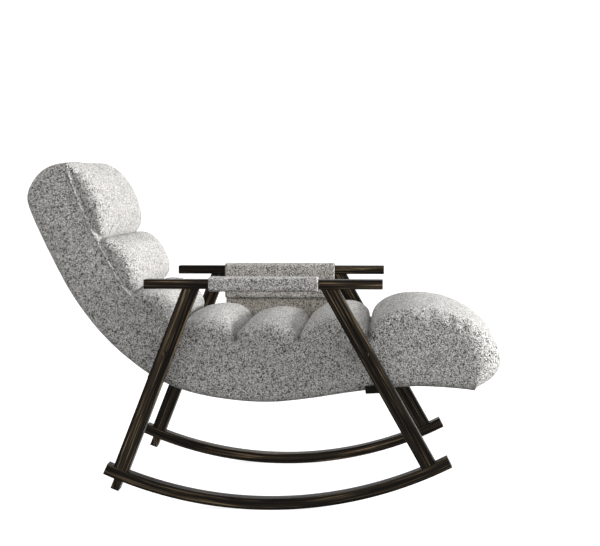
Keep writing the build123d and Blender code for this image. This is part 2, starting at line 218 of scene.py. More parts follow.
# The pocket panel's boucle is the cloth's wrong side, warmer and with fainter flecks, and it is also
# darkened as painted shade for the shadow of the saddle above it.
BOUCLE_WRONG_SIDE_SHADED = make_boucle("boucle_wrong_side_painted_shade", shade=(0.86, 0.80, 0.74), flecks=0.6)
# The saddle is the same boucle, darkened and with fainter flecks as painted shade for the shade the pod
# casts on its inner face.
BOUCLE_SADDLE_PAINTED_SHADE = make_boucle("boucle_saddle_painted_shade", shade=(0.84, 0.82, 0.79), flecks=0.85)
THREAD = Finish("thread", Roughness=0.7, Base_Color=(0.42, 0.41, 0.39, 1)).material
print("boucle curls of", round(CURL / MM, 1), "mm")

# %% [markdown]
# ## Stained ash
# Ash has open grain: long pores that run with the tree, light wood between them. Here it is stained
# nearly black, and the raised wood between the pores is rubbed back to an olive brown. Noise that is
# drawn out sixty times along a member gives such streaks. Each member leans its own way, so each gets
# its own turned copy of the finish, and the rockers' grain follows their bend, since they are bent
# from straight strips: there the streaks run along an angle about the rockers' centre.

# %% Stained ash finish
ASH_BLACK = (0.0045, 0.0035, 0.0027)
ASH_BROWN = (0.028, 0.021, 0.014)
ASH_GOLD = (0.30, 0.215, 0.125)
GRAIN_ACROSS = 270.0
GRAIN_STRETCH = 60.0
ASH_SHEEN = 0.05
PORE_DEPTH = 0.8 * MM
ROCKER_RADIUS = 1.045


def ash_from(f, grain):
    """Colour, roughness and pores from grain coordinates whose X runs along the wood."""
    broad = f.noise(grain, GRAIN_ACROSS * 0.30, 2.0, distortion=0.3)
    fine = f.noise(grain, GRAIN_ACROSS, 3.0, 0.55)
    finest = f.noise(grain, GRAIN_ACROSS * 2.4, 2.0)
    band = broad.between(0.44, 0.66)
    streak = fine.between(0.52, 0.68)
    gold = (streak * (band * 0.75 + 0.25) * finest.between(0.36, 0.60)).held()
    dark = f.mix((band * 0.75 + streak * 0.25).held(), ASH_BLACK, ASH_BROWN)
    f.set("Base Color", f.mix(gold, dark, ASH_GOLD))
    f.set("Roughness", (0.42 - streak * 0.10).held())
    f.bump(fine * 0.7 + finest * 0.3, 0.5, PORE_DEPTH)
    return f.material


def make_ash(name, lean_deg, seed):
    """Ash for a straight member whose length leans by lean_deg from X towards Z."""
    f = Finish(name, Specular_IOR_Level=ASH_SHEEN)
    turn, shift = (0, math.radians(lean_deg), 0), (seed, seed * 0.7, seed * 1.3)
    turned = f.node("ShaderNodeMapping", {"vector_type": "POINT"},
                    {"Vector": f.place(), "Rotation": turn, "Location": shift})
    grain = f.vector("MULTIPLY", turned, (1 / GRAIN_STRETCH, 1, 1))
    return ash_from(f, grain)


def make_bent_ash(name, seed):
    """Ash bent round the rockers' centre."""
    f = Finish(name, Specular_IOR_Level=ASH_SHEEN)
    from_centre = f.vector("SUBTRACT", f.place(), (LOW_X, 0.0, ROCKER_RADIUS))
    split = "ShaderNodeSeparateXYZ"
    parts = {axis: f.node(split, None, {0: from_centre}, output=axis) for axis in "XYZ"}
    angle = parts["X"].math("ARCTAN2", parts["X"], 0 - parts["Z"])
    radius = (parts["X"] * parts["X"] + parts["Z"] * parts["Z"]).root()
    along = angle * (ROCKER_RADIUS / GRAIN_STRETCH) + seed
    grain = f.node("ShaderNodeCombineXYZ", None, {"X": along, "Y": parts["Y"] + seed, "Z": radius})
    return ash_from(f, grain)


def lean_of(node):
    """The angle of a straight member's length from X towards Z, from its own points in the side view."""
    points = np.array([v.co for v in frame["nodes"][node].data.vertices])[:, [0, 2]]
    spread = points - points.mean(0)
    _, axes = np.linalg.eigh(spread.T @ spread)
    return math.degrees(math.atan2(axes[1, 1], axes[0, 1]))


def paint(node, material):
    """Gives a CAD node its finish."""
    slots = frame["nodes"][node].material_slots
    if not slots:
        frame["nodes"][node].data.materials.append(material)
    for slot in slots:
        slot.material = material


for index, side in enumerate(("right", "left")):
    paint(f"{side}_rocker", make_bent_ash(f"ash_{side}_rocker", 3.0 + index))
    for part in ("back_leg", "front_leg", "arm_rail"):
        node = f"{side}_{part}"
        paint(node, make_ash(f"ash_{node}", lean_of(node), 1.7 * (index + 1) + len(part)))
        print(node, "leans", round(lean_of(node), 1))
    paint(f"{side}_rear_stop", make_ash(f"ash_{side}_stop", 90.0, 5.1 + index))
paint("front_cross_rail", make_ash("ash_front_cross", 0.0, 8.3))
paint("back_cross_rail", make_ash("ash_back_cross", 0.0, 9.1))
paint("bolt_plugs", make_ash("ash_plugs", 90.0, 11.4))

# %% [markdown]
# ## What the pod hides
# Inside the pod are plywood boards, rails, webbing and foam, with steel bolts. They don't show on a
# whole chair, but they do when it is taken apart, so each gets a plain finish of its own.

# %% Hidden finishes


def make_plywood():
    f = Finish("plywood", Roughness=0.6)
    layers = f.vector("MULTIPLY", f.place(), (6.0, 700.0, 6.0))
    ply = f.noise(layers, 1.0, 1.0).between(0.42, 0.58)
    figure = f.noise(f.vector("MULTIPLY", f.place(), (4.0, 30.0, 30.0)), 3.0, 3.0)
    f.set("Base Color", f.mix((ply * 0.5 + figure * 0.4).held(), (0.70, 0.54, 0.35), (0.45, 0.31, 0.18)))
    f.bump(figure, 0.2, 0.5 * MM)
    return f.material


def make_foam():
    f = Finish("foam", Roughness=0.9)
    cells = f.node("ShaderNodeTexVoronoi", None, {"Vector": f.place(), "Scale": 500.0})
    f.set("Base Color", f.mix(cells.held(), (0.86, 0.80, 0.58), (0.70, 0.62, 0.40)))
    f.bump(cells, 0.5, 1.0 * MM)
    return f.material


def make_webbing():
    f = Finish("webbing", Roughness=0.8)
    across = f.node("ShaderNodeTexWave", {"bands_direction": "Y"}, {"Vector": f.place(), "Scale": 160.0})
    along = f.node("ShaderNodeTexWave", {"bands_direction": "X"}, {"Vector": f.place(), "Scale": 90.0})
    f.set("Base Color", f.mix((across * along).held(), (0.018, 0.018, 0.02), (0.09, 0.085, 0.08)))
    f.bump(across + along, 0.5, 0.5 * MM)
    return f.material


def make_steel():
    f = Finish("zinc_steel", Metallic=1.0)
    brushed = f.noise(f.vector("MULTIPLY", f.place(), (900.0, 60.0, 900.0)), 1.0, 2.0)
    f.set("Base Color", f.mix(brushed, (0.55, 0.56, 0.58), (0.72, 0.72, 0.70)))
    f.set("Roughness", 0.25 + brushed * 0.2)
    return f.material


hidden = {"plywood": make_plywood(), "foam": make_foam(), "webbing": make_webbing(), "steel": make_steel()}
for row in frame["record"]["subparts"]:
    if row["material_slot"] in hidden:
        paint(row["node"], hidden[row["material_slot"]])

# %% [markdown]
# ## The pod's lines
# Three lines in the side view give the pod its shape. The outside line runs down the back and along
# the underside. The top line runs over the rolls, with a crease between each two. The seam line is
# where the flat side panels stop and the rolls' ends begin. Each line goes from the top of the head
# to the toe, and all three meet there. They are given in millimetres from the rockers' lowest point,
# as on an upholsterer's template, and a cubic spline makes them smooth.

# %% Lines of the pod
OUTSIDE = [
    (-520, 889), (-551, 886), (-588, 871), (-616, 840), (-630, 803), (-622, 766), (-588, 690), (-550, 612),
    (-505, 534), (-446, 456), (-364, 378), (-290, 327), (-226, 300), (-96, 274), (-29, 269), (36, 271),
    (169, 289), (325, 309), (400, 312), (500, 306), (532, 303),
]
SEAM = [
    (-520, 889), (-511, 850), (-489, 792), (-455, 716), (-421, 651), (-370, 562), (-318, 496), (-268, 448),
    (-215, 427), (-89, 424), (84, 424), (180, 425), (262, 433), (338, 449), (416, 450), (474, 441),
    (523, 408), (539, 352), (532, 303),
]
ROLLS = [
    [(-520, 889), (-497, 880), (-475, 864), (-452, 838), (-436, 812), (-423, 780), (-415, 748), (-417, 718),
     (-434, 694)],
    [(-434, 694), (-404, 697), (-380, 684), (-356, 656), (-338, 620), (-332, 590), (-338, 568), (-358, 553)],
    [(-358, 553), (-325, 563), (-288, 558), (-255, 536), (-233, 505), (-228, 476), (-240, 455), (-270, 440)],
    [(-270, 440), (-236, 470), (-205, 484), (-172, 489), (-135, 485), (-106, 473), (-91, 456), (-89, 430)],
    [(-89, 430), (-84, 454), (-54, 468), (-8, 477), (30, 475), (60, 465), (75, 450), (77, 429)],
    [(77, 429), (81, 454), (102, 472), (140, 487), (192, 496), (230, 491), (252, 473), (256, 438)],
    [(256, 438), (262, 470), (285, 497), (330, 514), (391, 520), (455, 512), (512, 492), (559, 460),
     (592, 416), (605, 374), (597, 343), (570, 318), (532, 303)],
]


SPLINE_POINTS = 3000


def template(points):
    """Template points, as metres in the chair's own X and Z."""
    return np.array(points, float) * MM + (LOW_X, 0.0)


def spline(points, share):
    """Points of a natural cubic spline through the given ones, at shares 0..1 of its length."""
    knots = np.concatenate([[0], np.cumsum(np.linalg.norm(np.diff(points, axis=0), axis=1))])
    gap = np.diff(knots)[:, None]
    slope = np.diff(points, axis=0) / gap
    count = len(points)
    system = np.eye(count)
    curve = np.zeros((count, 2))
    for i in range(1, count - 1):
        system[i, i - 1:i + 2] = gap[i - 1, 0], 2 * (gap[i - 1, 0] + gap[i, 0]), gap[i, 0]
        curve[i] = 6 * (slope[i] - slope[i - 1])
    curve = np.linalg.solve(system, curve)

    def at(t):
        i = np.clip(np.searchsorted(knots, t) - 1, 0, count - 2)
        low, high, g = (t - knots[i])[:, None], (knots[i + 1] - t)[:, None], gap[i]
        ends = (curve[i] * high ** 3 + curve[i + 1] * low ** 3) / (6 * g)
        before, after = points[i] / g - curve[i] * g / 6, points[i + 1] / g - curve[i + 1] * g / 6
        return ends + before * high + after * low

    fine = at(np.linspace(0, knots[-1], SPLINE_POINTS))
    length = np.concatenate([[0], np.cumsum(np.linalg.norm(np.diff(fine, axis=0), axis=1))])
    wanted = np.asarray(share) * length[-1]
    return np.stack([np.interp(wanted, length, fine[:, k]) for k in (0, 1)], axis=1)


def nearest_share(line, point):
    """The share of a fine line's length at which it passes nearest to a point."""
    return float(np.argmin(np.linalg.norm(line - point, axis=1))) / (len(line) - 1)


STATION_STEP = 7.0 * MM
EVENNESS = 0.55
FINE = np.linspace(0, 1, 4001)
outside_fine = spline(template(OUTSIDE), FINE)
seam_fine = spline(template(SEAM), FINE)
top, seam, outside, crease_gap, end_gap = [], [], [], [], []
for index, roll in enumerate(ROLLS):
    points = template(roll)
    rough = np.linalg.norm(np.diff(spline(points, np.linspace(0, 1, 200)), axis=0), axis=1).sum()
    count = int(rough / STATION_STEP)
    even = np.linspace(0, 1, count + 1)[(0 if index == 0 else 1):]
    share = EVENNESS * even + (1 - EVENNESS) * (1 - np.cos(math.pi * even)) / 2
    first, last = index == 0, index == len(ROLLS) - 1
    seam_ends = [0.0 if first else nearest_share(seam_fine, points[0]),
                 1.0 if last else nearest_share(seam_fine, points[-1])]
    outside_ends = [0.0 if first else nearest_share(outside_fine, spline(template(SEAM), [seam_ends[0]])[0]),
                    1.0 if last else nearest_share(outside_fine, spline(template(SEAM), [seam_ends[1]])[0])]
    top.append(spline(points, share))
    seam.append(spline(template(SEAM), seam_ends[0] + even * (seam_ends[1] - seam_ends[0])))
    outside.append(spline(template(OUTSIDE), outside_ends[0] + even * (outside_ends[1] - outside_ends[0])))
    to_start = np.full(len(share), 1.0) if first else share * rough
    to_end = np.full(len(share), 1.0) if last else (1 - share) * rough
    crease_gap.append(np.minimum(to_start, to_end))
    end_gap.append(share * rough if first else (1 - share) * rough if last else np.full(len(share), 1.0))
top, seam, outside = np.concatenate(top), np.concatenate(seam), np.concatenate(outside)
crease_gap, end_gap = np.concatenate(crease_gap), np.concatenate(end_gap)
print("stations along the pod", len(top))

# %% [markdown]
# ## Meshes from grids
# Every soft piece below is worked out as a grid of points: the pod as loops along its length, the
# sleeve as rings, a sheet of cloth as rows. A mesh is that grid with quads between neighbours. The
# helpers here make such quads, close the mesh, turn its faces outwards and read or move its points.

# %% Mesh helpers


def grid_faces(rows, columns, closed_rows=False, closed_columns=True):
    """Quads of a grid of points, closed along its rows or columns."""
    ids = np.arange(rows * columns).reshape(rows, columns)
    if closed_rows:
        ids = np.vstack([ids, ids[:1]])
    if closed_columns:
        ids = np.hstack([ids, ids[:, :1]])
    quads = np.stack([ids[:-1, :-1], ids[:-1, 1:], ids[1:, 1:], ids[1:, :-1]], axis=2)
    return quads.reshape(-1, 4).tolist()


def mesh_object(name, points, faces, material, merge=0.0, pins=None):
    """A mesh object from points and faces, merged and with its faces turned outwards."""
    mesh = bpy.data.meshes.new(name)
    mesh.from_pydata(np.reshape(points, (-1, 3)).tolist(), [], faces)
    made = bmesh.new()
    made.from_mesh(mesh)
    if pins is not None:
        weights = made.verts.layers.deform.verify()
        for vertex, pin in zip(made.verts, np.ravel(pins)):
            vertex[weights][0] = float(pin)
    if merge:
        bmesh.ops.remove_doubles(made, verts=made.verts, dist=merge)
        bmesh.ops.dissolve_degenerate(made, edges=made.edges, dist=1e-6)
    bmesh.ops.recalc_face_normals(made, faces=made.faces)
    if made.calc_volume(signed=True) < 0:
        bmesh.ops.reverse_faces(made, faces=made.faces)
    for face in made.faces:
        face.smooth = True
    open_edges = sum(len(edge.link_faces) != 2 for edge in made.edges)
    made.to_mesh(mesh)
    made.free()
    mesh.materials.append(material)
    obj = bpy.data.objects.new(name, mesh)
    bpy.context.scene.collection.objects.link(obj)
    print(name, "vertices", len(mesh.vertices), "open edges", open_edges)
    return obj


def points_of(obj):
    """A mesh's vertices as an array."""
    flat = np.empty(len(obj.data.vertices) * 3, np.float32)
    obj.data.vertices.foreach_get("co", flat)
    return flat.reshape(-1, 3).astype(float)


def normals_of(obj):
    flat = np.empty(len(obj.data.vertices) * 3, np.float32)
    obj.data.vertices.foreach_get("normal", flat)
    return flat.reshape(-1, 3).astype(float)


def move_points(obj, points):
    obj.data.vertices.foreach_set("co", points.astype(np.float32).ravel())
    obj.data.update()


def soft_noise(points, size, seed):
    """Smooth noise of about -1 to 1 at each point, with waves of a given size."""
    return np.array([noise.noise(Vector(p) / size + Vector((seed, 0, 0))) for p in points])


def smooth_once(obj):
    """One level of subdivision, the same in the view and the render."""
    subdivide = obj.modifiers.new("smooth", "SUBSURF")
    subdivide.levels = subdivide.render_levels = 1


# %% [markdown]
# ## The pod's cover
# The real cover is a back piece, two side panels and a long top piece that is stitched down in
# channels, so that the wadding stands up in rolls. A loft suits it: at each station along the lines,
# one closed loop goes across the top, over the rounded shoulder to the seam, down the flat panel and
# back along the underside. Where the station is near a crease, the shoulder is drawn in as well, so
# the rolls get round ends. Each point also carries a pin weight: 1 where the cover is stitched down
# or lies on a board, and 0 where only wadding holds it up.

# %% Loft the pod
SHOULDER = 62 * MM
SHOULDER_POWER = 3.0
POWER_PLACES = (0.20, 0.30, 0.47, 0.53)
POWERS = (SHOULDER_POWER, 4.5, 4.0, 1.75)
HEAD_ARCH = 4 * MM
HEAD_ARCH_REACH = 60 * MM
TOE_CORNER = 8 * MM
TOE_CORNER_REACH = 14 * MM
END_BULGE = 5.0 * MM
NOTCH = 17 * MM
NOTCH_REACH = 13 * MM
STITCHED_REACH = 7 * MM
END_REACH = 28 * MM
CORNER = 17 * MM
SEAM_IN = 2.0 * MM
PANEL_CROWN = 2.5 * MM
TOP_CROWN = 5 * MM
BACK_CROWN = 4 * MM
FULL_HEIGHT = 55 * MM

TOP_COLUMNS = 22
BACK_COLUMNS = 24
CORNER_COLUMNS = 6
CORNER_SHARE = 0.45
HEAD_ARCH_FLATNESS = 6
TOE_CORNER_SHARPNESS = 4
LOOP_MERGE = 0.6 * MM
SHOULDER_ROWS = np.concatenate([
    np.linspace(0, 0.82, 14),
    np.arccos(np.linspace(0.31, 0.03, 10) ** (SHOULDER_POWER / 2)) / (math.pi / 2)])
PANEL_ROWS = np.concatenate([np.linspace(0, 0.10, 7), np.linspace(0.15, 0.96, 10)])
SEAM_ON_SEAT = 0.12
BACK_SEAM_END = -0.345
BACK_SEAM_FADE = 0.03

seam_depth = np.clip((BACK_SEAM_END - seam[:, 0]) / BACK_SEAM_FADE + 0.5, SEAM_ON_SEAT, 1.0)
crease = np.exp(-(crease_gap / NOTCH_REACH) ** 2)
stitched = np.maximum(np.exp(-(crease_gap / STITCHED_REACH) ** 2),
                      np.exp(-(end_gap / END_REACH) ** 2))


def half_loop():
    """Half of every station's loop, from the middle of the top to the middle of the underside."""
    rings = []

    def add(side_view, y, pin):
        ring = np.zeros((len(top), 4))
        ring[:, [0, 2]], ring[:, 1], ring[:, 3] = side_view, y, pin
        rings.append(ring)

    flat = POD_HALF - SHOULDER
    rise, drop = top - seam, outside - seam
    size = np.linalg.norm(rise, axis=1)[:, None]
    height = np.linalg.norm(drop, axis=1)[:, None]
    up, down = rise / np.maximum(size, 1e-6), drop / np.maximum(height, 1e-6)
    corner = np.minimum(CORNER, CORNER_SHARE * height)
    crown = up * TOP_CROWN * np.minimum(1, size / FULL_HEIGHT)
    power = np.interp(seam[:, :1], POWER_PLACES, POWERS)
    for v in np.linspace(0, 1, TOP_COLUMNS)[:-1]:
        add(top - crown * v ** 2, v * flat, stitched)
    for v in SHOULDER_ROWS:
        lift = max(0.0, math.cos(v * math.pi / 2)) ** (2 / power)
        out = (math.sin(v * math.pi / 2) ** (2 / power))[:, 0]
        bulge = END_BULGE * math.sin(math.pi * v ** 1.5) * (1 - crease) * seam_depth
        pull = NOTCH * crease * math.sin(math.pi * v ** 2.2) ** 0.7
        near_seam = max(0, (v - 0.8) / 0.2)
        y = flat + (SHOULDER - SEAM_IN * seam_depth) * out + bulge - pull
        add(seam + rise * lift - crown * lift, y, np.maximum(stitched, near_seam))
    for v in PANEL_ROWS:
        y = POD_HALF - SEAM_IN * seam_depth * (1 - v) ** 4 - PANEL_CROWN * v ** 3
        add(seam + down * (height - corner) * v, y, 1.0)
    for v in np.linspace(0, 1, CORNER_COLUMNS)[:-1]:
        turn = v * math.pi / 2
        y = POD_HALF - PANEL_CROWN - corner[:, 0] * (1 - math.cos(turn))
        add(outside - down * corner * (1 - math.sin(turn)), y, 1.0)
    for v in np.linspace(0, 1, BACK_COLUMNS):
        y = (POD_HALF - PANEL_CROWN - corner[:, 0]) * (1 - v)
        swell = BACK_CROWN * (1 - (1 - v) ** 2) * np.minimum(1, height / FULL_HEIGHT)
        add(outside + down * swell, y, 1.0)
    return np.stack(rings, axis=1)


half = half_loop()
# The head's top is arched across, and the toe's corners are turned in a little.
side_place = np.abs(half[..., 1]) / POD_HALF
from_head = np.linalg.norm(half[..., [0, 2]] - template(OUTSIDE)[0], axis=2)
near_head = np.exp(-(from_head / HEAD_ARCH_REACH) ** 2)
half[..., 2] += HEAD_ARCH * (1 - side_place ** HEAD_ARCH_FLATNESS) * near_head
from_toe = np.linalg.norm(half[..., [0, 2]] - template(OUTSIDE)[-1], axis=2)
near_toe = np.exp(-(from_toe / TOE_CORNER_REACH) ** 2)
half[..., 1] -= TOE_CORNER * side_place ** TOE_CORNER_SHARPNESS * near_toe
mirrored = half[:, -2:0:-1] * (1, -1, 1, 1)
loops = np.concatenate([half, mirrored], axis=1)
stations, around = loops.shape[:2]
pod = mesh_object("pod_upholstery", loops[..., :3], grid_faces(stations, around), BOUCLE,
                  merge=LOOP_MERGE, pins=loops[..., 3])

# %% [markdown]
# ## Filling the rolls
# Wadding pushes evenly outwards, like air, and the cover gives where nothing holds it. Cloth with a
# little pressure does just that. The stitched creases, the seam and the boarded faces are pinned, and
# the cover is cut a little too large, so it swells in the middle of each roll and gathers where the
# rolls are sewn down. How far a point may move is capped, so that the rolls keep their size.

# %% Cloth simulation
PRESSURE = 4.0
SPARE_CLOTH = 0.012
FRAMES = 20
FILL_CAP = 9 * MM
STRETCH_STIFFNESS = 15
BENDING_STIFFNESS = 2.0
SOLVER_STEPS = 5


def fill(obj):
    """Swells a pinned cover by cloth simulation and leaves the result in its mesh."""
    start = points_of(obj)
    obj.vertex_groups.new(name="pin")
    cloth = obj.modifiers.new("cloth", "CLOTH")
    cloth.settings.vertex_group_mass = "pin"
    cloth.settings.use_pressure = True
    cloth.settings.uniform_pressure_force = PRESSURE
    cloth.settings.shrink_min = -SPARE_CLOTH
    cloth.settings.effector_weights.gravity = 0
    cloth.settings.tension_stiffness = cloth.settings.compression_stiffness = STRETCH_STIFFNESS
    cloth.settings.bending_stiffness = BENDING_STIFFNESS
    cloth.settings.quality = SOLVER_STEPS
    cloth.point_cache.frame_start, cloth.point_cache.frame_end = 1, FRAMES
    for number in range(1, FRAMES + 1):
        bpy.context.scene.frame_set(number)
    result = obj.evaluated_get(bpy.context.evaluated_depsgraph_get()).to_mesh()
    moved = np.array([v.co for v in result.vertices], float) - start
    obj.modifiers.remove(cloth)
    bpy.context.scene.frame_set(1)
    reach = np.linalg.norm(moved, axis=1)
    capped = moved * (FILL_CAP * np.tanh(reach / FILL_CAP) / np.maximum(reach, 1e-9))[:, None]
    move_points(obj, start + capped)
    print(obj.name, "swelled by up to", round(reach.max() / MM, 1), "mm, mean", round(reach.mean() / MM, 1))


fill(pod)

# %% [markdown]
# ## Seams and softness
# The simulation leaves a cover that is too even. Real upholstery has a seam, where the side panel's
# edge stands up in a low welt beside a groove, short pleats where a crease runs out into that seam,
# and slow hollows where the wadding is thinner. These are small and follow simple rules, so the points
# are moved by them directly, sideways near the seam and along the surface's own normal elsewhere.

# %% Seams, pleats and hollows
WELT = 2.4 * MM
WELT_WIDTH = 3.2 * MM
WELT_PLACE = 4.0 * MM
GROOVE = 3.2 * MM
GROOVE_WIDTH = 6.0 * MM
GROOVE_PLACE = 6.0 * MM
LEG_SEAM = 0.25
LEG_SEAM_START = 0.32
LEG_SEAM_END = 0.50
LEG_SEAM_FADE_IN = 0.05
LEG_SEAM_FADE_OUT = 0.04
SIDE_FROM = 40 * MM
SIDE_FADE = 20 * MM
PLEAT = 1.8 * MM
PLEAT_REACH = 30 * MM
PLEAT_ANGLE = math.radians(24)
HOLLOW = 1.8 * MM
HOLLOW_SIZE = 95 * MM
ON_BOARD = 0.4


def past_seam(points):
    """How far each point is from the seam in the side view, positive on the panel's side."""
    line = seam_fine[::8]
    across = np.diff(line, axis=0)
    across = np.stack([across[:, 1], -across[:, 0]], axis=1) / np.linalg.norm(across, axis=1)[:, None]
    flat = points[:, [0, 2]]
    nearest = np.concatenate([
        np.argmin(np.linalg.norm(part[:, None] - line[None, :-1], axis=2), axis=1)
        for part in np.array_split(flat, max(1, len(flat) // 2000))])
    return np.sum((flat - line[nearest]) * across[nearest], axis=1), line[nearest]


def finish_cover(obj):
    points, normals = points_of(obj), normals_of(obj)
    outward = np.sign(points[:, 1])
    gap, beside = past_seam(points)
    end = np.clip((np.abs(points[:, 1]) - (POD_HALF - SIDE_FROM)) / SIDE_FADE, 0, 1)
    on_back = np.clip((BACK_SEAM_END - beside[:, 0]) / BACK_SEAM_FADE + 0.5, 0, 1)
    on_leg = LEG_SEAM * np.clip((beside[:, 0] - LEG_SEAM_START) / LEG_SEAM_FADE_IN, 0, 1)
    on_leg *= np.clip((LEG_SEAM_END - beside[:, 0]) / LEG_SEAM_FADE_OUT, 0, 1)
    strength = (on_back + on_leg) * end
    welt = WELT * np.exp(-((gap - WELT_PLACE) / WELT_WIDTH) ** 2)
    groove = GROOVE * np.exp(-((gap + GROOVE_PLACE) / GROOVE_WIDTH) ** 2)
    points[:, 1] += outward * strength * (welt - groove)
    for roll in ROLLS[1:]:
        root = template(roll)[0]
        arm = points[:, [0, 2]] - root
        far = np.linalg.norm(arm, axis=1)
        angle = np.arctan2(arm[:, 1], arm[:, 0])
        fade = (far / PLEAT_REACH) * np.exp(-(far / PLEAT_REACH) ** 2)
        pleat = np.cos(angle * 2 * math.pi / PLEAT_ANGLE) * fade
        points[:, 1] += outward * end * PLEAT * pleat
    broad, small = soft_noise(points, HOLLOW_SIZE, 3.7), soft_noise(points, HOLLOW_SIZE / 3, 9.1)
    hollow = HOLLOW * broad + 0.4 * HOLLOW * small
    hollow *= np.where(gap > 0, ON_BOARD, 1.0)
    move_points(obj, points + normals * hollow[:, None])
    print(obj.name, "welt", round(WELT / MM, 1), "hollows", round(np.abs(hollow).max() / MM, 1), "mm")


finish_cover(pod)
smooth_once(pod)
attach(pod, "root")
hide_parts("outer_cover", "head_roll", "middle_back_roll", "lower_back_roll", "rear_seat_roll",
            "middle_seat_roll", "front_seat_roll", "leg_roll")

# %% [markdown]
# ## The right arm's sleeve
# The right armrest is a padded tube of the same boucle, pulled over the rail and sewn shut along its
# underside. Rings of a rounded rectangle, each the rail's section grown by the padding, run along the
# outside, turn in at the ends and come back along the rail, so the skin is one closed surface. Slow
# noise swells and shrinks the rings a little, and two rows of stitches below stand for the seam.

# %% Arm sleeve
RING_POINTS = 56
RING_POWER = 5.5
SLEEVE_STEP = 6 * MM
END_ROUND = 5 * MM
RAIL_GAP = 0.4 * MM
SLEEVE_WOBBLE = 0.9 * MM
SLEEVE_WAVE_SIZE = 38 * MM
SLEEVE_WAVE_SEED = 5.3
SLEEVE_SHRINK = 0.4
SECTION_POINTS = 721
END_RINGS = 7
END_FULLNESS = 0.8
BACK_RINGS = 14


def section_ring(half_y, half_z):
    """Evenly spaced points round a rounded rectangle, from the middle of its underside."""
    angle = np.linspace(0, 2 * math.pi, SECTION_POINTS) - math.pi / 2
    across, up = np.cos(angle), np.sin(angle)
    line = np.stack([half_y * np.sign(across) * np.abs(across) ** (2 / RING_POWER),
                     half_z * np.sign(up) * np.abs(up) ** (2 / RING_POWER)], axis=1)
    length = np.concatenate([[0], np.cumsum(np.linalg.norm(np.diff(line, axis=0), axis=1))])
    wanted = np.linspace(0, length[-1], RING_POINTS, endpoint=False)
    return np.stack([np.interp(wanted, length, line[:, k]) for k in (0, 1)], axis=1)


def make_sleeve():
    low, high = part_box("right_arm_sleeve")
    rail_low, rail_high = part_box("right_arm_rail")
    middle, rail = (rail_low + rail_high) / 2, (rail_high - rail_low) / 2
    padding = (high.z - low.z) / 2 - rail.z
    turn = np.linspace(0, math.pi / 2, END_RINGS)
    end_x = END_ROUND * (1 - np.cos(turn))
    end_t = RAIL_GAP + (padding - RAIL_GAP) * np.sin(turn) ** END_FULLNESS
    count = int((high.x - low.x - 2 * END_ROUND) / SLEEVE_STEP)
    along = np.linspace(low.x + END_ROUND, high.x - END_ROUND, count)[1:-1]
    back = np.linspace(high.x, low.x, BACK_RINGS)[1:-1]
    x = np.concatenate([low.x + end_x, along, high.x - end_x[::-1], back])
    thick = np.concatenate([end_t, np.full(len(along), padding), end_t[::-1], np.full(len(back), RAIL_GAP)])
    rings = []
    for place, grown in zip(x, thick):
        ring = section_ring(rail.y + grown, rail.z + grown)
        deep = (grown - RAIL_GAP) / (padding - RAIL_GAP)
        spots = [(place, y, z) for y, z in ring]
        swell = SLEEVE_WOBBLE * soft_noise(spots, SLEEVE_WAVE_SIZE, SLEEVE_WAVE_SEED)
        swell -= SLEEVE_SHRINK * SLEEVE_WOBBLE
        ring *= 1 + (deep * swell / np.linalg.norm(ring, axis=1))[:, None]
        across, up = middle.y + ring[:, 0], middle.z + ring[:, 1]
        rings.append(np.column_stack([np.full(RING_POINTS, place), across, up]))
    faces = grid_faces(len(rings), RING_POINTS, closed_rows=True)
    return mesh_object("right_arm_sleeve_cover", rings, faces, BOUCLE)


sleeve = make_sleeve()
smooth_once(sleeve)
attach(sleeve, "root")
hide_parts("right_arm_sleeve")

# %% [markdown]
# ## Sheets: the left saddle and the pocket
# On the left arm, a strip of boucle lies over the rail like a saddle, with a long flap inside
# and a short one outside. A pocket hangs below it: a flat panel, and a pouch sewn on its outer face.
# Each is a sheet of cloth, so each is made as one: a grid at the middle of the sheet, pushed out both
# ways by half the thickness, which is greater along a folded hem and less along a row of stitches.

# %% Sheet helper
SHEET_STEP = 4 * MM
HEM = 12 * MM
HEM_EXTRA = 0.8 * MM
STITCH_DIP = 0.7 * MM
STITCH_WIDTH = 2.2 * MM


def sheet_mesh(name, middle, half, material):
    """A closed sheet of cloth from the grid at its middle and half its thickness at each point."""
    normal = np.cross(np.gradient(middle, axis=0), np.gradient(middle, axis=1))
    normal /= np.linalg.norm(normal, axis=2, keepdims=True)
    rows, columns = middle.shape[:2]
    skins = np.stack([middle + normal * half[..., None], middle - normal * half[..., None]])
    ids = np.arange(skins[..., 0].size).reshape(2, rows, columns)
    faces = grid_faces(rows, columns, closed_columns=False)
    faces += [[i + rows * columns for i in face] for face in faces]
    rim = [np.concatenate([i[0, :], i[1:, -1], i[-1, -2::-1], i[-2:0:-1, 0]]) for i in ids]
    upper, lower = rim[0], rim[1]
    faces += np.stack([upper, np.roll(upper, -1), np.roll(lower, -1), lower], axis=1).tolist()
    return mesh_object(name, skins, faces, material)


def hem(distance):
    """Extra half thickness at each distance from a hemmed edge."""
    fold = HEM_EXTRA * np.clip((HEM - distance) / (2 * MM) + 0.5, 0, 1)
    return fold - STITCH_DIP * np.exp(-((distance - HEM + 2 * MM) / STITCH_WIDTH) ** 2)


def steps(length):
    return max(2, int(round(length / SHEET_STEP)) + 1)


# %% Left arm saddle
SADDLE_HALF = 3.0 * MM
SADDLE_WAVE = 1.3 * MM
SADDLE_CORNER = 10 * MM
CORNER_POINTS = 12
SADDLE_END_INSET = 1 * MM
SADDLE_OUTSIDE_DROP = 5 * MM
WAVE_DEPTH = 45 * MM
SADDLE_WAVE_LENGTH = 118 * MM
SADDLE_WAVE_START = 0.8
RIM_EDGE = 0.55
RIM_WIDTH = 4 * MM


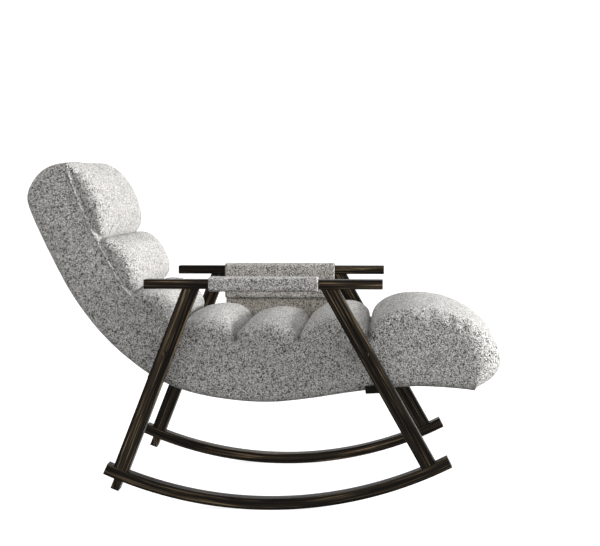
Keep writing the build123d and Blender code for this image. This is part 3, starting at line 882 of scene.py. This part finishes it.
def rounded_path(corners, radii):
    """A line through corner points, each rounded by an arc, as evenly spaced points."""
    corners = [np.array(c, float) for c in corners]
    line = [corners[0]]
    for before, here, after, radius in zip(corners, corners[1:], corners[2:], radii):
        back = (before - here) / np.linalg.norm(before - here)
        on = (after - here) / np.linalg.norm(after - here)
        for v in np.linspace(0, 1, CORNER_POINTS):
            line.append(here + radius * (back * (1 - v) ** 2 + on * v ** 2))
    line = np.array(line + [corners[-1]])
    length = np.concatenate([[0], np.cumsum(np.linalg.norm(np.diff(line, axis=0), axis=1))])
    wanted = np.linspace(0, length[-1], steps(length[-1]))
    return np.stack([np.interp(wanted, length, line[:, k]) for k in (0, 1)], axis=1), length[-1]


def make_saddle():
    low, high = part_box("left_arm_saddle")
    rail_low, rail_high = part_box("left_arm_rail")
    inner, outer, over = low.y + SADDLE_HALF, high.y - SADDLE_HALF, high.z - SADDLE_HALF
    short_end = rail_low.z - SADDLE_OUTSIDE_DROP
    path, length = rounded_path([(inner, low.z), (inner, over), (outer, over), (outer, short_end)],
                                [SADDLE_CORNER, SADDLE_CORNER])
    x = np.linspace(low.x + SADDLE_END_INSET, high.x - SADDLE_END_INSET, steps(high.x - low.x))
    middle = np.stack([np.broadcast_to(x, (len(path), len(x))),
                       np.broadcast_to(path[:, :1], (len(path), len(x))),
                       np.broadcast_to(path[:, 1:], (len(path), len(x)))], axis=2).copy()
    below = np.clip((rail_low.z - middle[..., 2]) / WAVE_DEPTH, 0, 1)
    wave = np.sin((middle[..., 0] - low.x) * 2 * math.pi / SADDLE_WAVE_LENGTH + SADDLE_WAVE_START)
    middle[..., 1] += SADDLE_WAVE * below * wave
    down_path = np.linspace(0, length, len(path))[:, None]
    to_end = np.minimum(down_path, length - down_path)
    to_side = np.minimum(x - x[0], x[-1] - x)[None, :]
    half = SADDLE_HALF - HEM_EXTRA + np.maximum(hem(to_end), hem(to_side))
    half *= RIM_EDGE + (1 - RIM_EDGE) * np.clip(np.minimum(to_end, to_side) / RIM_WIDTH, 0, 1)
    flat = (x[-1] - x[0], length)
    # The saddle cloth takes the darker boucle copy, whose darkening is painted shade.
    return sheet_mesh("left_arm_saddle_cloth", middle, half, BOUCLE_SADDLE_PAINTED_SHADE), flat


saddle, saddle_flat = make_saddle()
smooth_once(saddle)
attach(saddle, "root")
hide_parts("left_arm_saddle")
print("saddle cut to", [round(v, 3) for v in saddle_flat])

# %% Pocket
POCKET_CLOTH = 1.4 * MM
PANEL_WAVE = 0.9 * MM
PANEL_WAVE_LENGTH = 140 * MM
PANEL_EDGE = 0.6
POUCH_SLACK = 0.88
POUCH_SPAN_POWER = 0.96
BELLY_FLATNESS = 5
BELLY_HEIGHT = 0.34
BELLY_ROUND = 2.4
MOUTH_CLOSE = 0.30
MOUTH_WAVE = 0.04
MOUTH_WAVE_RATE = 9
MOUTH_SAG = 5 * MM


def make_panel():
    low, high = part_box("pocket_panel")
    x = np.linspace(low.x, high.x, steps(high.x - low.x))
    z = np.linspace(low.z, high.z, steps(high.z - low.z))
    middle = np.stack(np.meshgrid(x, [(low.y + high.y) / 2], z, indexing="ij"), axis=-1)[:, 0]
    hang = (high.z - middle[..., 2]) / (high.z - low.z)
    middle[..., 1] -= PANEL_WAVE * hang * np.sin((middle[..., 0] - low.x) * 2 * math.pi / PANEL_WAVE_LENGTH)
    to_edge = np.minimum.outer(np.minimum(x - x[0], x[-1] - x), np.full(len(z), 1.0))
    to_edge = np.minimum(to_edge, (z - z[0])[None, :])
    thinner = PANEL_EDGE + (1 - PANEL_EDGE) * np.clip(to_edge / RIM_WIDTH, 0, 1)
    half = np.full(to_edge.shape, POCKET_CLOTH) * thinner
    # The panel takes the wrong-side boucle, whose darkening is partly painted shade from the saddle above.
    return sheet_mesh("pocket_back_panel", middle, half, BOUCLE_WRONG_SIDE_SHADED), (high.x - low.x, high.z - low.z)


def make_pouch():
    low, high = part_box("pocket_pouch")
    depth = high.y - low.y - 2 * POCKET_CLOTH
    u = np.linspace(-1, 1, steps(high.x - low.x + depth))
    v = np.linspace(0, 1, steps(high.z - low.z + depth))
    across, up = np.meshgrid(u, v, indexing="ij")
    low_part = (1 - up / BELLY_HEIGHT).clip(0) ** BELLY_ROUND
    belly = (1 - np.abs(across) ** BELLY_FLATNESS) * np.clip(1 - low_part, 0, 1)
    mouth = 1 - MOUTH_CLOSE * up ** 2 + MOUTH_WAVE * np.sin(across * MOUTH_WAVE_RATE)
    spread = np.sign(across) * np.abs(across) ** POUCH_SPAN_POWER
    x = (low.x + high.x) / 2 + (high.x - low.x) / 2 * spread
    y = low.y + POCKET_CLOTH + depth * POUCH_SLACK * belly * mouth
    z = low.z + (high.z - low.z) * up - MOUTH_SAG * up * (1 - across ** 2)
    middle = np.stack([x, y, z], axis=-1)
    to_mouth = (1 - up) * (high.z - low.z)
    half = POCKET_CLOTH + hem(to_mouth)
    flat = (high.x - low.x + depth / 4, high.z - low.z + depth / 4)
    return sheet_mesh("pocket_pouch_cloth", middle, half, BOUCLE), flat


for piece, node, rests in ((make_panel(), "pocket_panel", ["left_arm_saddle_cloth"]),
                           (make_pouch(), "pocket_pouch", ["pocket_back_panel"])):
    cloth_piece, cut = piece
    smooth_once(cloth_piece)
    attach(cloth_piece, "root")
    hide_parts(node)
    print(node, "cut to", [round(length, 3) for length in cut])

# %% [markdown]
# ## Stitches
# A row of stitches is one short piece of thread, again and again along a line, which is what Geometry
# Nodes are for. The tree turns an edge line into evenly spaced points, sets a small rounded thread at
# each, turned along the line, and makes them real. The lines themselves are found by shooting rays at
# the finished cloth, so that every stitch lies on it.

# %% Stitch tree
STITCH_SPACING = 8.0 * MM
STITCH_LENGTH = 5.6 * MM
STITCH_THICKNESS = 1.3 * MM


def stitch_tree():
    tree = bpy.data.node_groups.new("stitches", "GeometryNodeTree")
    made = Nodes(tree)
    tree.interface.new_socket("Line", in_out="INPUT", socket_type="NodeSocketGeometry")
    for name in ("Spacing", "Length", "Thickness"):
        tree.interface.new_socket(name, in_out="INPUT", socket_type="NodeSocketFloat")
    tree.interface.new_socket("Thread", in_out="INPUT", socket_type="NodeSocketMaterial")
    tree.interface.new_socket("Stitches", in_out="OUTPUT", socket_type="NodeSocketGeometry")
    names = ("Line", "Spacing", "Length", "Thickness", "Thread")
    given = {name: made.node("NodeGroupInput", output=name) for name in names}
    curve = made.node("GeometryNodeMeshToCurve", None, {"Mesh": given["Line"]})
    points = made.node("GeometryNodeCurveToPoints", {"mode": "LENGTH"},
                       {"Curve": curve, "Length": given["Spacing"]})
    spin = Wire(made, points.socket.node.outputs["Rotation"])
    thread = made.node("GeometryNodeMeshUVSphere", None, {"Segments": 6, "Rings": 5, "Radius": 0.5})
    size = made.node("ShaderNodeCombineXYZ", None,
                     {"X": given["Thickness"], "Y": given["Thickness"], "Z": given["Length"]})
    placed = made.node("GeometryNodeInstanceOnPoints", None,
                       {"Points": points, "Instance": thread, "Rotation": spin, "Scale": size})
    real = made.node("GeometryNodeRealizeInstances", None, {"Geometry": placed})
    done = made.node("GeometryNodeSetMaterial", None, {"Geometry": real, "Material": given["Thread"]})
    out = tree.nodes.new("NodeGroupOutput")
    made.join(out.inputs["Stitches"], done)
    return tree


STITCHES = stitch_tree()


def sew(name, lines):
    """Stitches along lines of points, as one plain mesh piece."""
    mesh = bpy.data.meshes.new(name + "_lines")
    points, edges = [], []
    for line in lines:
        edges += [(len(points) + i, len(points) + i + 1) for i in range(len(line) - 1)]
        points += [tuple(p) for p in line]
    mesh.from_pydata(points, edges, [])
    source = bpy.data.objects.new(name + "_lines", mesh)
    bpy.context.scene.collection.objects.link(source)
    modifier = source.modifiers.new("stitches", "NODES")
    modifier.node_group = STITCHES
    wanted = {"Spacing": STITCH_SPACING, "Length": STITCH_LENGTH,
              "Thickness": STITCH_THICKNESS, "Thread": THREAD}
    for item in STITCHES.interface.items_tree:
        if item.in_out == "INPUT" and item.name in wanted:
            modifier[item.identifier] = wanted[item.name]
    evaluated = source.evaluated_get(bpy.context.evaluated_depsgraph_get())
    made = bpy.data.meshes.new_from_object(evaluated)
    bpy.data.objects.remove(source)
    obj = bpy.data.objects.new(name, made)
    bpy.context.scene.collection.objects.link(obj)
    for face in made.polygons:
        face.use_smooth = True
    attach(obj, "root")
    print(name, "faces", len(made.polygons))
    return obj


def on_cloth(obj, points, direction):
    """Where rays from outside meet a finished piece. Points whose ray misses are left out."""
    tree = BVHTree.FromObject(obj, bpy.context.evaluated_depsgraph_get())
    direction = Vector(direction)
    hits = [tree.ray_cast(Vector(p) - direction, direction)[0] for p in points]
    return [hit for hit in hits if hit is not None]


# %% Rows of stitches
SEAM_STITCH = 9 * MM
POUCH_EDGE = 5 * MM
MOUTH_ROW = 16 * MM
SLEEVE_ROW_OFF = 4 * MM


def seam_row(side):
    """A row on the side panel, beside the welt."""
    line = seam_fine[120:-120:20]
    along = np.gradient(line, axis=0)
    across = np.stack([along[:, 1], -along[:, 0]], axis=1) / np.linalg.norm(along, axis=1)[:, None]
    row = line + across * SEAM_STITCH
    return on_cloth(pod, [(x, 0.0, z) for x, z in row], (0, -side, 0))


def saddle_rows():
    low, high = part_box("left_arm_saddle")
    x = np.linspace(low.x + HEM, high.x - HEM, 30)
    rail_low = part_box("left_arm_rail")[0]
    inside = on_cloth(saddle, [(a, low.y, low.z + HEM - 2 * MM) for a in x], (0, 1, 0))
    z = np.linspace(low.z + HEM, high.z - HEM, 12)
    sides = [on_cloth(saddle, [(a, low.y, b) for b in z], (0, 1, 0)) for a in (low.x + HEM, high.x - HEM)]
    outside = on_cloth(saddle, [(a, high.y, rail_low.z + 6 * MM) for a in x], (0, -1, 0))
    y = np.linspace(low.y + HEM, high.y - HEM, 9)
    over = [on_cloth(saddle, [(a, b, high.z) for b in y], (0, 0, -1)) for a in (low.x + HEM, high.x - HEM)]
    return [inside, outside, *sides, *over]


def pocket_rows():
    low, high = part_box("pocket_pouch")
    pouch = bpy.data.objects["pocket_pouch_cloth"]
    x = np.linspace(low.x + HEM, high.x - HEM, 34)
    z = np.linspace(low.z + POUCH_EDGE, high.z - 6 * MM, 24)
    mouth = on_cloth(pouch, [(a, 0, high.z - MOUTH_ROW) for a in x], (0, -1, 0))
    ends = (low.x + POUCH_EDGE, high.x - POUCH_EDGE)
    sides = [on_cloth(pouch, [(a, 0, b) for b in z], (0, -1, 0)) for a in ends]
    bottom = on_cloth(pouch, [(a, 0, low.z + POUCH_EDGE) for a in x], (0, -1, 0))
    return [mouth, bottom, *sides]


def sleeve_rows():
    low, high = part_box("right_arm_sleeve")
    x = np.linspace(low.x + HEM, high.x - HEM, 30)
    middle = (low.y + high.y) / 2
    places = (middle - SLEEVE_ROW_OFF, middle + SLEEVE_ROW_OFF)
    return [on_cloth(sleeve, [(a, y, 0) for a in x], (0, 0, 1)) for y in places]


sew("pod_seam_stitches", [seam_row(RIGHT), seam_row(LEFT)])
sew("saddle_hem_stitches", saddle_rows())
sew("pocket_stitches", pocket_rows())
sew("sleeve_seam_stitches", sleeve_rows())

# %% [markdown]
# ## Camera
# The chair is seen from its right side, from a little above the arms and from some way off, so the far
# side frame shows just inside the near one.

# %% Camera
CAMERA_AT = (0.329, -4.263, 0.841)
CAMERA_DOWN = 2.50
CAMERA_TURN = 2.47
CAMERA_SHIFT = -0.04
CAMERA_LENS = 92.7
camera = bpy.data.objects.new("camera", bpy.data.cameras.new("camera"))
bpy.context.scene.collection.objects.link(camera)
camera.location = CAMERA_AT
camera.rotation_euler = (math.radians(90 - CAMERA_DOWN), 0, math.radians(CAMERA_TURN))
camera.data.lens = CAMERA_LENS
camera.data.shift_x = camera.data.shift_y = CAMERA_SHIFT
camera.data.clip_end = 100
bpy.context.scene.camera = camera

# %% [markdown]
# ## Floor and light
# A pale floor runs out to a white room, and one large soft light stands in front of the chair, so the
# faces that look forwards are bright and the sides are in quiet shade. The room is white above the
# horizon and dark below it, and the floor is hidden from diffuse rays, so that little light comes up
# from below and the undersides go dark. The floor also glows by itself, as a lit studio sweep does, so
# it stays white and the chair's shadow on it all but vanishes.

# %% Floor and light
ROOM_ABOVE = 1.22
ROOM_BELOW = 0.33
KEY_POWER = 950
KEY_AT = (6.4, -0.5, 1.35)
KEY_AIM = (0.0, 0.0, 0.5)
KEY_SIZE = 2.2
FLOOR_GLOW = 0.9
FLOOR_REACH = 60.0

world = bpy.data.worlds.new("studio")
world.use_nodes = True
room = Nodes(world.node_tree)
looking = room.node("ShaderNodeTexCoord", output="Generated")
height = room.node("ShaderNodeSeparateXYZ", None, {0: looking}, output="Z")
room.join(world.node_tree.nodes["Background"].inputs["Color"], (1.0, 1.0, 1.0))
room.join(world.node_tree.nodes["Background"].inputs["Strength"],
          ROOM_BELOW + height.between(-0.12, 0.0) * (ROOM_ABOVE - ROOM_BELOW))
bpy.context.scene.world = world
bpy.context.scene.view_settings.view_transform = "Standard"

floor_finish = Finish("pale_floor", Roughness=1.0, Specular_IOR_Level=0.0, Base_Color=(0.3, 0.3, 0.3, 1),
                      Emission_Color=(1, 1, 1, 1), Emission_Strength=FLOOR_GLOW)
corners = [(x * FLOOR_REACH, y * FLOOR_REACH, 0) for x, y in ((-1, -1), (1, -1), (1, 1), (-1, 1))]
floor = mesh_object("floor", corners, [(0, 1, 2, 3)], floor_finish.material)
floor.visible_diffuse = False


def area_light(name, at, aim, size, power):
    light = bpy.data.lights.new(name, "AREA")
    light.shape, light.size, light.energy = "DISK", size, power
    obj = bpy.data.objects.new(name, light)
    bpy.context.scene.collection.objects.link(obj)
    obj.location = at
    obj.visible_camera = False
    obj.rotation_euler = (Vector(aim) - Vector(at)).to_track_quat("-Z", "Y").to_euler()
    return obj


area_light("key", KEY_AT, KEY_AIM, KEY_SIZE, KEY_POWER)
